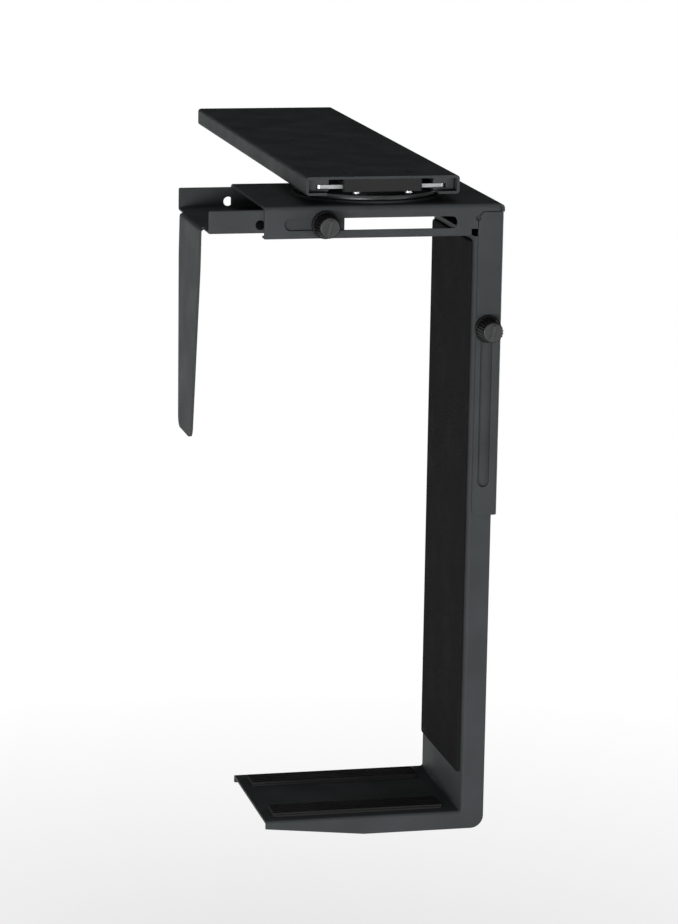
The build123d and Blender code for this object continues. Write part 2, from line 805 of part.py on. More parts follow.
for owner, x, z, outer_face in (
    ("arm", stud_x, slot_z, arm_half),
    ("column", height_x, height_stud_z, column_half),
):
    finish(make_guide_bolt(x, z, outer_face - sheet), f"{owner}_guide_bolt")
    finish(make_guide_ring(x, z, outer_face, bush_end, guide_bush_r), f"{owner}_guide_bush")
    finish(make_guide_ring(x, z, bush_end, guide_washer_end, guide_washer_r), f"{owner}_guide_washer")
    finish(make_guide_nut(x, z), f"{owner}_guide_nut")


# ---------------------------------------------------------------- lower bracket
# Column and tray are one L, hollow on the side away from the tower.
def corner_outline(inset, reach):
    """L whose tower side lies inset behind the bracket's faces, and that reaches past its back."""
    face = column_face + inset
    floor = tray_top - inset
    with BuildSketch() as outline:
        with BuildLine():
            Polyline(
                (face, column_top + reach),
                (column_back + reach, column_top + reach),
                (column_back + reach, tray_top - tray_flange - reach),
                (tray_tip - reach, tray_top - tray_flange - reach),
                (tray_tip - reach, floor),
                (face, floor),
                close=True,
            )
        make_face()
        fillet(outline.vertices().sort_by_distance((face, floor))[0], tray_bend + inset)
    return outline.sketch


solid_outline = corner_outline(0.0, 0.0)
hollow_outline = corner_outline(sheet, hollow_reach)
hollow_half = column_half - sheet
shoe_x = column_back - shoe_overlap / 2
shoe_z = column_top - shoe_drop - shoe_length / 2


def tower_side_edges(solid, half, face, floor):
    """Long edges of the column's tower side and of the tray's top."""
    edges = solid.edges().filter_by(lambda e: abs(abs(e.center().Y) - half) < slip)
    return edges.filter_by(
        lambda e: e.center().X < face + tray_bend + sheet
        and e.center().Z > floor - slip
        and e.center().X > tray_tip + slip
    )


with BuildPart() as hollow:
    with BuildSketch(Plane.XZ.offset(hollow_half)):
        add(hollow_outline)
    extrude(amount=-2 * hollow_half)
    fillet(tower_side_edges(hollow, hollow_half, column_face + sheet, tray_top - sheet), lip_fold - sheet)

with BuildPart() as lower_bracket:
    with BuildSketch(Plane.XZ.offset(column_half)):
        add(solid_outline)
    extrude(amount=-2 * column_half)
    fillet(tower_side_edges(lower_bracket, column_half, column_face, tray_top), lip_fold)
    add(hollow.part, mode=Mode.SUBTRACT)
    # the tray's flanges get lower towards the tip, and the heel is rounded
    with BuildSketch(Plane.XZ.offset(half_depth)):
        with BuildLine():
            Polyline(
                (column_face - tray_reach / 2, tray_top - tray_flange),
                (tray_tip, tray_top - tray_tip_flange),
                (tray_tip - sheet, tray_top - tray_tip_flange),
                (tray_tip - sheet, tray_top - tray_flange - sheet),
                (column_face - tray_reach / 2, tray_top - tray_flange - sheet),
                close=True,
            )
        make_face()
    extrude(amount=-plate_depth, mode=Mode.SUBTRACT)
    heel = lower_bracket.edges().filter_by(Axis.Y).group_by(Axis.Z)[0].sort_by(Axis.X)[-2:]
    fillet(heel, heel_r)
    with BuildSketch(Plane.XZ.offset(half_depth)):
        with Locations((height_x, height_stud_z)):
            Circle(stud_r + seat)
        with Locations((shoe_x, shoe_z)):
            Circle(shoe_peg_r + seat)
    extrude(amount=-half_depth, mode=Mode.SUBTRACT)
    with BuildSketch(Plane.XZ):
        with Locations((height_x, height_stud_z)):
            Circle(guide_bolt_r + seat)
        with Locations((shoe_x, shoe_z)):
            Circle(shoe_peg_r + seat)
    extrude(amount=-half_depth, mode=Mode.SUBTRACT)
finish(lower_bracket, "lower_bracket")

# Nylon shoes inside the column's top end run on the post's inner wall.
shoe_start = column_back - shoe_overlap
shoe_end = right_end - sheet - slip
with BuildPart() as column_shoes:
    for side in (-1, 1):
        with BuildSketch(Plane.XZ.offset(side * (hollow_half - shoe_thickness))):
            with Locations(((shoe_start + shoe_end) / 2, shoe_z)):
                Rectangle(shoe_end - shoe_start, shoe_length)
        extrude(amount=side * shoe_thickness)
        with BuildSketch(Plane.XZ.offset(side * hollow_half)):
            with Locations((shoe_x, shoe_z)):
                Circle(shoe_peg_r)
        extrude(amount=side * sheet)
finish(column_shoes, "column_shoes")

pad_top = column_top - column_pad_top_gap
pad_bottom = tray_top + column_pad_foot_gap
with BuildPart() as column_pad:
    with BuildSketch(Plane.YZ.offset(column_face - pad_thickness)):
        with Locations((0, (pad_top + pad_bottom) / 2)):
            RectangleRounded(2 * (column_half - pad_margin), pad_top - pad_bottom, pad_corner)
    extrude(amount=pad_thickness)
finish(column_pad, "column_pad")

strip_left = tray_tip + strip_tip_gap
strip_right = column_face - strip_column_gap
with BuildPart() as tray_strips:
    with BuildSketch(Plane.XY.offset(tray_top)):
        with Locations(((strip_left + strip_right) / 2, 0)):
            with GridLocations(1, tray_strip_pitch, 1, 2):
                RectangleRounded(strip_right - strip_left, tray_strip_width, pad_corner)
    extrude(amount=pad_thickness)
finish(tray_strips, "tray_strips")

print("slot travel to the right", round(arm_travel, 2))
print("inside width at rest", round(column_face - wing_outside - sheet, 2))
print("tray top", round(tray_top, 2), "post bottom", round(post_bottom, 2))
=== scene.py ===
# %% [markdown]
# # An under-desk holder for a computer tower
# The holder hangs from a track under a desk. A trolley slides in the track, a swivel turns below it,
# and a folded steel frame carries the tower between a post with a tray on the right and a wing on the
# left. Its construction is loaded as a finished model. This file adds the finishes, the foam and rubber
# that the model holds only as plain solids, and the light. The new pieces take their places from the
# model.

# %% Load the construction
import json
from math import cos, degrees, pi, radians, sin

import bmesh
import bpy
from mathutils import Matrix, Vector


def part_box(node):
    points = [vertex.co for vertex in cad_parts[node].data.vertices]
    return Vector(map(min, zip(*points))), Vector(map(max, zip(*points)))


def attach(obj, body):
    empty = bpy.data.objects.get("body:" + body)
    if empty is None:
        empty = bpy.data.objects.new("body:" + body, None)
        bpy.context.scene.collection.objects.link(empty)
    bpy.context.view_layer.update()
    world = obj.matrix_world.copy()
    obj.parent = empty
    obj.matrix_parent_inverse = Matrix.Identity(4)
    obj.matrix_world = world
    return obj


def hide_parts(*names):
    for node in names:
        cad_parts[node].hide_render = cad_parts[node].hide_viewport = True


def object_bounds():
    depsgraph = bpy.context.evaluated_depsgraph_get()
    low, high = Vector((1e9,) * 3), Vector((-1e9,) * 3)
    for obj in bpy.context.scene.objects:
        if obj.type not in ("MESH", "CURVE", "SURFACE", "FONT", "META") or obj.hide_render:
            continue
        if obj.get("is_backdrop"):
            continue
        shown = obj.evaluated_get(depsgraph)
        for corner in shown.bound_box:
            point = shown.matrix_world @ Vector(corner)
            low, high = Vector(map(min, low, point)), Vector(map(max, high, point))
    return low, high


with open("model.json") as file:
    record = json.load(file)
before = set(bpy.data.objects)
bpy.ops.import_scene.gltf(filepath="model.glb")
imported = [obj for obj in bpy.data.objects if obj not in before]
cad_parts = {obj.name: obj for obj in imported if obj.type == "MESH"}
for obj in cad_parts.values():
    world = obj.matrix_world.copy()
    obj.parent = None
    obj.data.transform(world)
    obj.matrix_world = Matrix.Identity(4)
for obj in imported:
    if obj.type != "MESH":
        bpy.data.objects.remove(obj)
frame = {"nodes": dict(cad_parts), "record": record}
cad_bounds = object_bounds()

nodes = frame["nodes"]
print("box", [round(v, 3) for v in cad_bounds[0]], [round(v, 3) for v in cad_bounds[1]])

# %% [markdown]
# ## Camera
# A long lens from the front, a little to the left and above the holder. A long lens keeps upright
# edges nearly parallel, as product pictures do. The camera's axes are worked out from three angles, so
# that each of them can be changed by itself.

# %% Camera
camera_place = Vector((-0.6382, -2.6674, 0.3671))
camera_yaw = radians(13.10)
camera_pitch = radians(12.30)
camera_roll = radians(0.96)
lens_mm = 141.1

level = Vector((sin(camera_yaw), cos(camera_yaw), 0.0))
forward = level * cos(camera_pitch) - Vector((0.0, 0.0, sin(camera_pitch)))
level_right = Vector((cos(camera_yaw), -sin(camera_yaw), 0.0))
level_up = level_right.cross(forward)
right = level_right * cos(camera_roll) + level_up * sin(camera_roll)
up = level_up * cos(camera_roll) - level_right * sin(camera_roll)
camera = bpy.data.objects.new("camera", bpy.data.cameras.new("camera"))
camera.data.lens = lens_mm
turned = Matrix((right, up, -forward)).transposed().to_4x4()
camera.matrix_world = Matrix.Translation(camera_place) @ turned
bpy.context.scene.collection.objects.link(camera)
bpy.context.scene.camera = camera
print("camera looks along", [round(v, 3) for v in forward])

# %% [markdown]
# ## Helpers for node trees
# Materials and shared effects are both trees of nodes. Linking them by hand takes several lines for
# each node, so one helper makes a node, sets it and links it in a single call.

# %% Node helpers
def add_node(tree, kind, links=None, **settings):
    """A node with its settings made, and its inputs set from numbers or linked from sockets."""
    node = tree.nodes.new(kind)
    for key, value in settings.items():
        setattr(node, key, value)
    for key, value in (links or {}).items():
        if isinstance(value, bpy.types.NodeSocket):
            tree.links.new(value, node.inputs[key])
        else:
            node.inputs[key].default_value = value
    return node


def math_of(tree, operation, first, second=0.0):
    """The result of one sum or comparison of two values."""
    return add_node(tree, "ShaderNodeMath", {0: first, 1: second}, operation=operation).outputs[0]


def ramp_of(tree, value, low, high, start=0.0, end=1.0):
    """A value that runs from start to end while another runs from low to high, and stays there."""
    limits = {"Value": value, "From Min": low, "From Max": high, "To Min": start, "To Max": end}
    return add_node(tree, "ShaderNodeMapRange", limits).outputs[0]


def new_material(name):
    """A material with its node tree and its Principled shader."""
    material = bpy.data.materials.new(name)
    material.use_nodes = True
    return material, material.node_tree, material.node_tree.nodes["Principled BSDF"]


def seen_directly(tree):
    """A value that is 1 for rays from the camera, a reflection or a transmission."""
    rays = tree.nodes.new("ShaderNodeLightPath")
    mirrored = math_of(tree, "MAXIMUM", rays.outputs["Is Glossy Ray"], rays.outputs["Is Transmission Ray"])
    return math_of(tree, "MAXIMUM", rays.outputs["Is Camera Ray"], mirrored)


print("node helpers ready")

# %% [markdown]
# ## Surround, floor and lamps
# The surround is white where the camera and reflections see it, and gives less light than it shows,
# which leaves the shaping to large soft lamps.

# %% Surround
bpy.context.scene.view_settings.view_transform = "Standard"
ambient = 0.32

world = bpy.data.worlds.new("surround")
bpy.context.scene.world = world
world.use_nodes = True
background = world.node_tree.nodes["Background"]
background.inputs["Color"].default_value = (1.0, 1.0, 1.0, 1.0)
brightness = ramp_of(world.node_tree, seen_directly(world.node_tree), 0.0, 1.0, ambient, 1.0)
world.node_tree.links.new(brightness, background.inputs["Strength"])
print("surround gives", ambient, "of the light that it shows")

# %% [markdown]
# The holder hangs as high above the floor as it would under a desk. The floor is pale and fades into the
# white surround, so no horizon shows, but it keeps the holder's shadow. Seen from below it is clear, so
# that the underside of the holder can be looked at too.

# %% Floor
floor_height = -0.70
floor_size = 16.0
floor_colour = (0.95, 0.95, 0.95, 1.0)
floor_roughness = 0.9
floor_shine = 0.1
fade_reach = 1.0
fade_least = 0.5


def stage_plane(name, size, height, material):
    """A square, level plane that belongs to the stage."""
    shape = bmesh.new()
    bmesh.ops.create_grid(shape, x_segments=1, y_segments=1, size=size / 2)
    bmesh.ops.translate(shape, verts=shape.verts, vec=(0, 0, height))
    mesh = bpy.data.meshes.new(name)
    shape.to_mesh(mesh)
    shape.free()
    mesh.materials.append(material)
    plane = bpy.data.objects.new(name, mesh)
    bpy.context.scene.collection.objects.link(plane)
    plane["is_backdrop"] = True
    return plane


floor_paint, tree, shader = new_material("pale floor")
shader.inputs["Base Color"].default_value = floor_colour
shader.inputs["Roughness"].default_value = floor_roughness
shader.inputs["Specular IOR Level"].default_value = floor_shine
where = tree.nodes.new("ShaderNodeTexCoord").outputs["Object"]
level_place = add_node(tree, "ShaderNodeVectorMath", {0: where, 1: (1.0, 1.0, 0.0)}, operation="MULTIPLY")
distance = add_node(tree, "ShaderNodeVectorMath", {0: level_place.outputs[0]}, operation="LENGTH")
fade = ramp_of(tree, distance.outputs["Value"], 0.0, fade_reach, fade_least, 1.0)
white = add_node(tree, "ShaderNodeEmission", {"Color": (1.0, 1.0, 1.0, 1.0)})
shown = math_of(tree, "MULTIPLY", fade, seen_directly(tree))
blend = add_node(tree, "ShaderNodeMixShader", {"Fac": shown, 1: shader.outputs[0], 2: white.outputs[0]})
from_below = tree.nodes.new("ShaderNodeNewGeometry").outputs["Backfacing"]
clear = tree.nodes.new("ShaderNodeBsdfTransparent").outputs[0]
one_way = add_node(tree, "ShaderNodeMixShader", {"Fac": from_below, 1: blend.outputs[0], 2: clear})
tree.links.new(one_way.outputs[0], tree.nodes["Material Output"].inputs["Surface"])
stage_plane("floor", floor_size, floor_height, floor_paint)
print("floor", round(cad_bounds[0].z - floor_height, 3), "m below the tray")

# %% [markdown]
# A desk top above the holder keeps its upper faces dark in use, because at a low angle they mirror the
# underside of the desk. A studio gets this with a black flag hung over the subject. The flag here is
# seen by reflections alone: it takes no light from the holder and never shows itself.

# %% Flag overhead
flag_size = 40.0
flag_height = 0.28
flag_colour = (0.0005, 0.0005, 0.0005, 1.0)

flag_cloth, tree, shader = new_material("flag cloth")
shader.inputs["Base Color"].default_value = flag_colour
shader.inputs["Roughness"].default_value = 1.0
shader.inputs["Specular IOR Level"].default_value = 0.0
flag = stage_plane("flag", flag_size, flag_height, flag_cloth)
flag.visible_camera = False
flag.visible_diffuse = False
flag.visible_shadow = False
print("flag", flag_height, "m above the desk face")

# %% [markdown]
# The lamps in front are wide and low soft boxes, and their tops stay under the level of the desk. So
# the upright faces are bright, and the level ones and the inside of the arm stay dark, as they do
# under a real desk. A weaker lamp fills from the right, one at the right rear lights the back, and a
# faint one overhead keeps the top readable.

# %% Lamps
light_target = Vector((-0.02, 0.1, -0.25))
low_level = -0.40
low_box = 0.5


def soft_lamp(name, place, width, height, power):
    """A soft box that points at the holder."""
    lamp = bpy.data.objects.new(name, bpy.data.lights.new(name, "AREA"))
    lamp.data.shape = "RECTANGLE"
    lamp.data.size = width
    lamp.data.size_y = height
    lamp.data.energy = power
    lamp.location = place
    lamp.rotation_euler = (light_target - Vector(place)).to_track_quat("-Z", "Y").to_euler()
    bpy.context.scene.collection.objects.link(lamp)


soft_lamp("key lamp", (-1.4, -2.35, low_level), 1.6, low_box, 60)
soft_lamp("fill lamp", (1.9, -1.7, low_level), 1.4, low_box, 15)
soft_lamp("back lamp", (2.2, 1.9, low_level), 1.8, low_box, 60)
soft_lamp("overhead lamp", (0.1, 0.3, 2.2), 1.2, 1.2, 6)
print("four lamps point at", [round(v, 2) for v in light_target])

# %% [markdown]
# ## Shared effects
# Every surface here has things in common: it isn't perfectly even, its edges aren't perfectly sharp,
# and its edges are painted a little brighter, partly as wear from rubbing and partly as a painted
# highlight. Each effect is a node group with named inputs, so that coats, metals and plastics use the
# same one at their own scale.

# %% Helpers for groups
def new_group(name, inputs, outputs):
    """A shader node group with float inputs (name, value) and outputs (name, socket type)."""
    group = bpy.data.node_groups.new(name, "ShaderNodeTree")
    for label, value in inputs:
        socket = group.interface.new_socket(name=label, in_out="INPUT", socket_type="NodeSocketFloat")
        socket.default_value = value
    for label, kind in outputs:
        group.interface.new_socket(name=label, in_out="OUTPUT", socket_type=kind)
    return group, group.nodes.new("NodeGroupInput"), group.nodes.new("NodeGroupOutput")


def place_group(tree, group, values):
    """A shared effect placed in a material, with its own values or links."""
    return add_node(tree, "ShaderNodeGroup", values, node_tree=group)


def noise_of(tree, where, scale, detail):
    """Smooth noise between 0 and 1."""
    inputs = {"Vector": where, "Scale": scale, "Detail": detail}
    return add_node(tree, "ShaderNodeTexNoise", inputs).outputs["Fac"]


print("group helpers ready")

# %% [markdown]
# Grain is what a finger feels and what breaks a reflection up. It has two scales: the fine height of a
# coat or a cast skin, and slow patches, in which the colour and the gloss drift a little. A stretch
# draws the fine height out along X, as on rolled or drawn metal.

# %% Grain
usual_grains = 1500.0
fine_detail = 2.0
patch_detail = 3.0

grain, enter, leave = new_group(
    "grain",
    [("Grains per metre", usual_grains), ("Patches per metre", 30.0), ("Stretch", 1.0)],
    [("Height", "NodeSocketFloat"), ("Patches", "NodeSocketFloat")],
)
where = grain.nodes.new("ShaderNodeTexCoord").outputs["Object"]
scale = add_node(grain, "ShaderNodeCombineXYZ", {"X": enter.outputs["Stretch"], "Y": 1.0, "Z": 1.0})
drawn_out = add_node(grain, "ShaderNodeVectorMath", {0: where, 1: scale.outputs[0]}, operation="MULTIPLY")
fine = noise_of(grain, drawn_out.outputs[0], enter.outputs["Grains per metre"], fine_detail)
slow = noise_of(grain, where, enter.outputs["Patches per metre"], patch_detail)
grain.links.new(fine, leave.inputs["Height"])
grain.links.new(slow, leave.inputs["Patches"])
print("grain:", [socket.name for socket in grain.interface.items_tree])

# %% [markdown]
# A real edge is never sharp, and the coat makes it rounder still. The Bevel node rolls the normal over
# each edge by a given radius, so every edge catches a thin line of light, and the construction itself
# keeps its exact size. The grain's height is then laid over that rolled normal.

# %% Relief
edge_radius = 0.0004
usual_depth = 0.00002
bevel_samples = 6


def rolled_normal(group, radius):
    """The normal, rolled over each edge by a radius."""
    return add_node(group, "ShaderNodeBevel", {"Radius": radius}, samples=bevel_samples).outputs[0]


relief, enter, leave = new_group(
    "relief",
    [("Edge radius", edge_radius), ("Height", 0.5), ("Depth", usual_depth)],
    [("Normal", "NodeSocketVector")],
)
rolled = rolled_normal(relief, enter.outputs["Edge radius"])
heights = {"Height": enter.outputs["Height"], "Distance": enter.outputs["Depth"], "Normal": rolled}
bumped = add_node(relief, "ShaderNodeBump", heights)
relief.links.new(bumped.outputs[0], leave.inputs["Normal"])
print("relief:", [socket.name for socket in relief.interface.items_tree])

# %% [markdown]
# Handling polishes edges first, and this group lightens them. Where the rolled normal leaves the true
# one, there is an edge, and noise breaks that line into short marks, so that it looks rubbed and not
# outlined. The lighter colour there is partly wear and partly a painted highlight along the edges.

# %% Edge wear and painted highlight
edge_first = 0.98
edge_full = 0.80
mark_low = 0.42
mark_high = 0.66
mark_detail = 4.0

# The mask marks where edges are painted lighter, partly as wear and partly as a painted highlight.
wear_and_highlight, enter, leave = new_group(
    "edge wear",
    [("Edge radius", 0.0008), ("Marks per metre", 260.0), ("Amount", 0.5)],
    [("Mask", "NodeSocketFloat")],
)
rolled = rolled_normal(wear_and_highlight, enter.outputs["Edge radius"])
flat = wear_and_highlight.nodes.new("ShaderNodeNewGeometry").outputs["True Normal"]
match = add_node(wear_and_highlight, "ShaderNodeVectorMath", {0: rolled, 1: flat}, operation="DOT_PRODUCT")
edges = ramp_of(wear_and_highlight, match.outputs["Value"], edge_first, edge_full)
where = wear_and_highlight.nodes.new("ShaderNodeTexCoord").outputs["Object"]
blotches = noise_of(wear_and_highlight, where, enter.outputs["Marks per metre"], mark_detail)
marks = ramp_of(wear_and_highlight, blotches, mark_low, mark_high)
mask = math_of(wear_and_highlight, "MULTIPLY", math_of(wear_and_highlight, "MULTIPLY", edges, marks), enter.outputs["Amount"])
wear_and_highlight.links.new(mask, leave.inputs["Mask"])
print("edge wear:", [socket.name for socket in wear_and_highlight.interface.items_tree])

# %% [markdown]
# The construction holds its screws as plain cylinders. A thread is rings one pitch apart along the
# shank, so a wave along the screw's axis is its height. It is kept to the shank by the distance from
# the axis, which leaves the head smooth.

# %% Screw thread
shank_slack = 1.03

screw_thread, enter, leave = new_group(
    "screw thread",
    [("Along", 0.0), ("Across", 0.0), ("Beside", 0.0), ("Pitch", 0.001), ("Shank radius", 0.003)],
    [("Height", "NodeSocketFloat")],
)
turns = math_of(screw_thread, "DIVIDE", enter.outputs["Along"], enter.outputs["Pitch"])
wave = math_of(screw_thread, "SINE", math_of(screw_thread, "MULTIPLY", turns, 2 * pi))
across = math_of(screw_thread, "POWER", enter.outputs["Across"], 2.0)
beside = math_of(screw_thread, "POWER", enter.outputs["Beside"], 2.0)
reach = math_of(screw_thread, "SQRT", math_of(screw_thread, "ADD", across, beside))
limit = math_of(screw_thread, "MULTIPLY", enter.outputs["Shank radius"], shank_slack)
on_shank = math_of(screw_thread, "LESS_THAN", reach, limit)
rings = math_of(screw_thread, "MULTIPLY", ramp_of(screw_thread, wave, -1.0, 1.0), on_shank)
screw_thread.links.new(rings, leave.inputs["Height"])
print("screw thread:", [socket.name for socket in screw_thread.interface.items_tree])

# %% [markdown]
# ## Finishes
# One function makes a finish from what a maker would name: its colour, the lighter colour on its edges,
# how rough it is and how coarse its grain is. That edge colour is partly the wear that rubbing leaves
# and partly a painted highlight. Powder coat is a thin plastic skin over the steel, so it isn't
# metallic. Zinc is, and its grain is drawn out into fine lines. A screw's finish has a thread as well,
# and there the rings take the place of most of the grain.

# %% One finish
patch_low = 0.3
patch_high = 0.7
drift = 0.12
grain_on_thread = 0.03
thread_share = 0.3


def thread_height(tree, thread, fine):
    """The height of a thread, from its axis, its middle, its pitch and its shank's radius."""
    axis, middle, pitch, shank = thread
    where = tree.nodes.new("ShaderNodeTexCoord").outputs["Object"]
    offset = add_node(tree, "ShaderNodeVectorMath", {0: where, 1: middle}, operation="SUBTRACT")
    parts = add_node(tree, "ShaderNodeSeparateXYZ", {0: offset.outputs[0]}).outputs
    places = {"Along": parts[axis], "Across": parts[(axis + 1) % 3], "Beside": parts[(axis + 2) % 3]}
    rings = place_group(tree, screw_thread, {**places, "Pitch": pitch, "Shank radius": shank})
    faint = math_of(tree, "MULTIPLY", fine, grain_on_thread)
    return math_of(tree, "ADD", faint, rings.outputs["Height"])


def finish_of(name, colour, wear_and_highlight_colour, roughness, metallic=0.0, specular=0.5,
              grains=usual_grains, depth=usual_depth, wear_and_highlight_amount=0.4, stretch=1.0, thread=None):
    """A Principled material whose colour, roughness and relief vary over the surface."""
    material, tree, shader = new_material(name)
    texture = place_group(tree, grain, {"Grains per metre": grains, "Stretch": stretch})
    patches = texture.outputs["Patches"]
    height = texture.outputs["Height"]
    if thread:
        height = thread_height(tree, thread, height)
        depth = thread[2] * thread_share
    surface = place_group(tree, relief, {"Edge radius": edge_radius, "Depth": depth, "Height": height})
    shade = ramp_of(tree, patches, patch_low, patch_high, 1.0 - drift, 1.0 + drift)
    body = add_node(tree, "ShaderNodeVectorMath", {0: colour, "Scale": shade}, operation="SCALE")
    # The edges take the lighter edge colour here: partly wear, partly a painted highlight.
    wear_and_highlight_mask = place_group(tree, wear_and_highlight, {"Amount": wear_and_highlight_amount}).outputs["Mask"]
    layers = {0: wear_and_highlight_mask, 6: body.outputs[0], 7: (*wear_and_highlight_colour, 1.0)}
    mixed = add_node(tree, "ShaderNodeMix", layers, data_type="RGBA")
    least, most = roughness * (1.0 - drift), roughness * (1.0 + drift)
    gloss = ramp_of(tree, patches, patch_low, patch_high, least, most)
    tree.links.new(mixed.outputs[2], shader.inputs["Base Color"])
    tree.links.new(gloss, shader.inputs["Roughness"])
    tree.links.new(surface.outputs["Normal"], shader.inputs["Normal"])
    shader.inputs["Metallic"].default_value = metallic
    shader.inputs["Specular IOR Level"].default_value = specular
    return material


print("finish helper ready")

# %% [markdown]
# The frame, the track and the swivel's discs are powder coated in a dull, slightly blue black. Bolts,
# nuts, studs, rivets and the trolley's plate are zinc plated. The washers under the knobs are black
# oxide steel, whose skin is so thin that the steel shows where it is rubbed, and the knobs' inserts are
# turned from brass. On every one of these, the lighter edge colour is partly that wear and partly a
# painted highlight.

# %% Powder coat, plating and brass
finishes = {}
# The second colour of each finish is painted on its edges, partly as wear and partly as a painted
# highlight.
finishes["black_powder_coat"] = finish_of(
    "black powder coat", (0.0405, 0.044, 0.046), (0.072, 0.076, 0.08), 0.62,
    specular=0.12, grains=2200.0, depth=0.00003, wear_and_highlight_amount=0.25)
zinc_look = dict(metallic=1.0, grains=1400.0, depth=0.00001, stretch=0.15, wear_and_highlight_amount=0.3)
zinc_colour = (0.42, 0.43, 0.44)
# The lighter zinc on the edges is partly wear and partly a painted highlight.
zinc_wear_and_highlight = (0.52, 0.52, 0.52)
zinc_roughness = 0.42
finishes["zinc_plated_steel"] = finish_of(
    "zinc plated steel", zinc_colour, zinc_wear_and_highlight, zinc_roughness, **zinc_look)
finishes["black_oxide_steel"] = finish_of(
    "black oxide steel", (0.030, 0.031, 0.034), (0.16, 0.16, 0.16), 0.42,
    metallic=0.5, grains=1400.0, depth=0.00001, wear_and_highlight_amount=0.5)
finishes["insert_brass"] = finish_of(
    "insert brass", (0.70, 0.52, 0.24), (0.80, 0.66, 0.40), 0.30,
    metallic=1.0, grains=1400.0, depth=0.00001)
print("metals:", ", ".join(finishes))

# %% [markdown]
# The plastics differ mostly in their skin. The knob's body is fine textured for grip, its cap is
# smoother and greyer, and nylon runners are waxy. The foam is closed-cell, but cutting opens the cells at
# its skin, so its height is the deepest of these, and it takes almost no gloss.

# %% Plastics, rubber and foam
# The second colours here are painted on the edges too, partly as wear and partly as a painted highlight.
finishes["knob_plastic"] = finish_of(
    "knob plastic", (0.006, 0.006, 0.0065), (0.02, 0.02, 0.02), 0.50,
    specular=0.15, grains=3000.0, wear_and_highlight_amount=0.3)
finishes["cap_plastic"] = finish_of(
    "cap plastic", (0.027, 0.028, 0.029), (0.06, 0.06, 0.06), 0.34,
    specular=0.4, grains=3000.0, depth=0.00001, wear_and_highlight_amount=0.3)
finishes["black_nylon"] = finish_of(
    "black nylon", (0.022, 0.022, 0.023), (0.05, 0.05, 0.05), 0.42,
    grains=900.0, depth=0.00001)
finishes["black_rubber"] = finish_of(
    "black rubber", (0.014, 0.014, 0.014), (0.035, 0.035, 0.035), 0.78,
    specular=0.25, grains=1800.0, depth=0.00003)
finishes["black_foam"] = finish_of(
    "black foam", (0.012, 0.012, 0.012), (0.02, 0.02, 0.02), 0.95,
    specular=0.06, grains=900.0, depth=0.0004, wear_and_highlight_amount=0.2)
print("finishes:", ", ".join(finishes))

# %% [markdown]
# The model's record names a finish for every piece, so the pieces get theirs in one loop, and none can be
# forgotten.

# %% Finish of each piece of the construction
slot_of = {piece["node"]: piece["material_slot"] for piece in frame["record"]["subparts"]}


def give_finish(node, finish):
    """A node of the construction with one finish all over."""
    nodes[node].data.materials.clear()
    nodes[node].data.materials.append(finish)


for node, slot in slot_of.items():
    give_finish(node, finishes[slot])
print(len(slot_of), "pieces finished")

# %% [markdown]
# The bolts and studs get the same zinc with a thread. Each has its own axis, read from the box of its
# node, because the thread is measured from that axis.

# %% Threads
x_axis, y_axis, z_axis = 0, 1, 2

bolt_threads = {
    "arm_guide_bolt": (y_axis, 0.00100, 0.003),
    "column_guide_bolt": (y_axis, 0.00100, 0.003),
    "width_stud": (y_axis, 0.00125, 0.004),
    "height_stud": (y_axis, 0.00125, 0.004),
    "pivot_bolt": (z_axis, 0.00150, 0.005),
}
for node, (axis, pitch, shank) in bolt_threads.items():
    low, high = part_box(node)
    thread = (axis, (low + high) / 2, pitch, shank)
    give_finish(node, finish_of("zinc thread " + node, zinc_colour, zinc_wear_and_highlight, zinc_roughness,
                                thread=thread, **zinc_look))
print("threads on", ", ".join(bolt_threads))

# %% [markdown]
# ## Foam and rubber
# The model holds the soft pieces as plain solids of the right size. Each gets its real shape here: the
# foam pads are die cut, with a rim that the die has squeezed, and the rubber strips are moulded with
# ribs. All of them start from a block in the solid's own box, so they can't stand outside it.

# %% Block and rounded corners
corner_radius = 0.003
corner_segments = 6
parallel = 0.999


def block(size, middle):
    """A bmesh block of a given size around a given middle."""
    shape = bmesh.new()
    bmesh.ops.create_cube(shape, size=1.0)
    bmesh.ops.scale(shape, verts=shape.verts, vec=size)
    bmesh.ops.translate(shape, verts=shape.verts, vec=middle)
    return shape


def round_corners(shape, axis):
    """Round the edges of a block that run along an axis."""
    along = []
    for edge in shape.edges:
        direction = (edge.verts[0].co - edge.verts[1].co).normalized()
        if abs(direction[axis]) > parallel:
            along.append(edge)
    bmesh.ops.bevel(shape, geom=along, offset=corner_radius, segments=corner_segments, profile=0.5,
                    affect="EDGES", material=-1)


print("corners are rounded by", corner_radius, "m")

# %% [markdown]
# A shape that is finished in a bmesh still has to become a piece: a mesh with its finish, that moves
# with the right body and stands for the plain solid. One function does all of this, so no piece can
# miss a step.

# %% From a shape to a piece
sharp_edge = radians(60)


def new_piece(name, shape, body, node):
    """A finished bmesh as a piece that rides on a body and stands for a node of the construction."""
    mesh = bpy.data.meshes.new(name)
    shape.to_mesh(mesh)
    shape.free()
    mesh.shade_smooth()
    mesh.set_sharp_from_angle(angle=sharp_edge)
    mesh.materials.append(finishes[slot_of[node]])
    piece = bpy.data.objects.new(name, mesh)
    bpy.context.scene.collection.objects.link(piece)
    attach(piece, body)
    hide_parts(node)
    return piece


print("edges over", round(degrees(sharp_edge)), "degrees stay sharp")

# %% [markdown]
# A die squeezes the rim of a foam pad as it cuts, so the pad is thinner at its edge and swells to its
# full thickness in the first few millimetres. A cloth simulation would do this for a thick cushion.
# For a pad as thin as these, three insets, each pushed out less than the one before, give the same
# rounded rim and keep the large face flat.

# %% Foam pad
rim_share = 0.72
rim_steps = ((0.0006, 0.14), (0.0008, 0.09), (0.0010, 0.05))


